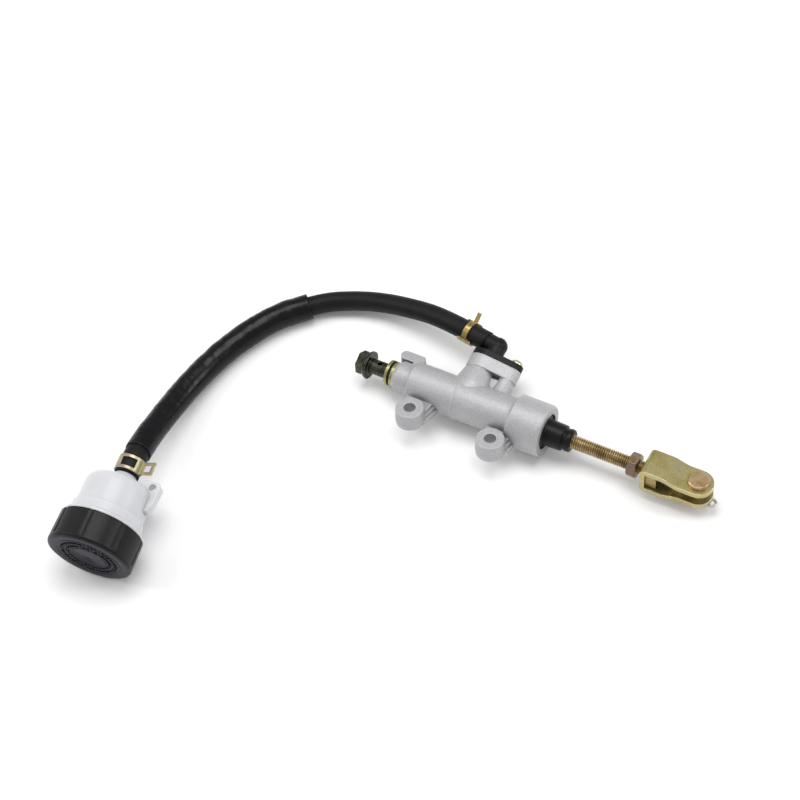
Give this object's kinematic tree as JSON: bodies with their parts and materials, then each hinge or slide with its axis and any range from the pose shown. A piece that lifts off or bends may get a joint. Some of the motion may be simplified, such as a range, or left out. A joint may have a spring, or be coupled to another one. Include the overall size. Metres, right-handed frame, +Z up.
{
  "type": "brake master cylinder",
  "caption": "Rear brake master cylinder: cast body with mounting bosses, pushrod with clevis and lock nut, banjo bolt, and a remote fluid reservoir on a sleeved hose.",
  "frame": {"origin": "bottom centre of the part's box without the hose, its sleeve and its clamps, on the surface the part lies on", "axes": "+X along the bore towards the clevis, +Z up, +Y towards the hose port"},
  "size_m": [0.3186, 0.2295, 0.049],
  "materials": {
    "cast_aluminium": "as-cast, fine grain",
    "blackened_steel": "black oxide, satin",
    "yellow_zinc": "yellow zinc plating",
    "rod_zinc": "yellow zinc plating, dulled",
    "nut_zinc": "zinc plating with a brown-violet tint",
    "clevis_zinc": "yellow-green zinc plating",
    "pin_zinc": "pinkish zinc plating",
    "bright_steel": "bright",
    "black_plastic": "moulded, satin",
    "black_rubber": "moulded, matt",
    "sleeve_vinyl": "soft vinyl, semi-gloss",
    "white_plastic": "milky, translucent",
    "cap_plastic": "moulded, matt"
  },
  "bodies": {
    "housing": {"cylinder_body": "cast_aluminium", "banjo_bolt": "blackened_steel", "crush_washers": "yellow_zinc", "eye_spacer": "black_rubber", "stop_washer": "bright_steel", "circlip": "blackened_steel", "dust_boot": "black_rubber", "return_spring": "bright_steel", "port_elbow": "black_plastic", "elbow_o_ring": "black_rubber", "elbow_screw": "yellow_zinc", "hose": "black_rubber", "hose_sleeve": "sleeve_vinyl", "upper_hose_clamp": "yellow_zinc", "lower_hose_clamp": "yellow_zinc", "reservoir_tank": "white_plastic", "reservoir_ear": "white_plastic"},
    "piston": {"piston": "bright_steel", "primary_cup": "black_rubber", "secondary_cup": "black_rubber", "spring_seat": "bright_steel"},
    "rod": {"pushrod": "rod_zinc"},
    "nut": {"lock_nut": "nut_zinc"},
    "fork": {"clevis": "clevis_zinc", "clevis_nut": "yellow_zinc"},
    "pin": {"clevis_pin": "pin_zinc", "pin_washer": "pin_zinc", "cotter_pin": "bright_steel"},
    "cap_seal": {"diaphragm": "black_rubber", "diaphragm_plate": "white_plastic"},
    "cap": {"reservoir_cap": "cap_plastic"}
  },
  "joints": [
    {"name": "piston_stroke", "type": "slide", "parent": "housing", "child": "piston", "axis": [-1, 0, 0], "range_m": [0, 0.01], "stiffness_N_per_m": 1500, "springref_m": -0.005, "deforming": ["return_spring", "dust_boot"]},
    {"name": "rod_swivel", "type": "hinge", "parent": "piston", "child": "rod", "pos_m": [0.0438, 0.0674, 0.015], "axis": [0, 0.1219, 0.9925], "range_deg": [-3, 3]},
    {"name": "length_adjust", "type": "slide", "parent": "rod", "child": "nut", "axis": [1, 0, 0], "range_m": [-0.004, 0.004]},
    {"name": "clevis_turn", "type": "hinge", "parent": "nut", "child": "fork", "pos_m": [0.1185, 0.0674, 0.015], "axis": [1, 0, 0], "range_deg": [-1152, 1152]},
    {"name": "pin_spin", "type": "hinge", "parent": "fork", "child": "pin", "pos_m": [0.1481, 0.0674, 0.015], "axis": [0, 0.1219, 0.9925], "continuous": true},
    {"name": "cap_lift", "type": "slide", "parent": "housing", "child": "cap_seal", "axis": [0.1564, -0.9877, 0], "range_m": [0, 0.006]},
    {"name": "cap_turn", "type": "hinge", "parent": "cap_seal", "child": "cap", "pos_m": [-0.13391, -0.09811, 0.0245], "axis": [0.1564, -0.9877, 0], "range_deg": [0, 720]}
  ],
  "couplings": [
    {"joint": "clevis_turn", "follows": "length_adjust", "rad_per_m": 5026.5},
    {"joint": "cap_turn", "follows": "cap_lift", "rad_per_m": 2094.4}
  ]
}
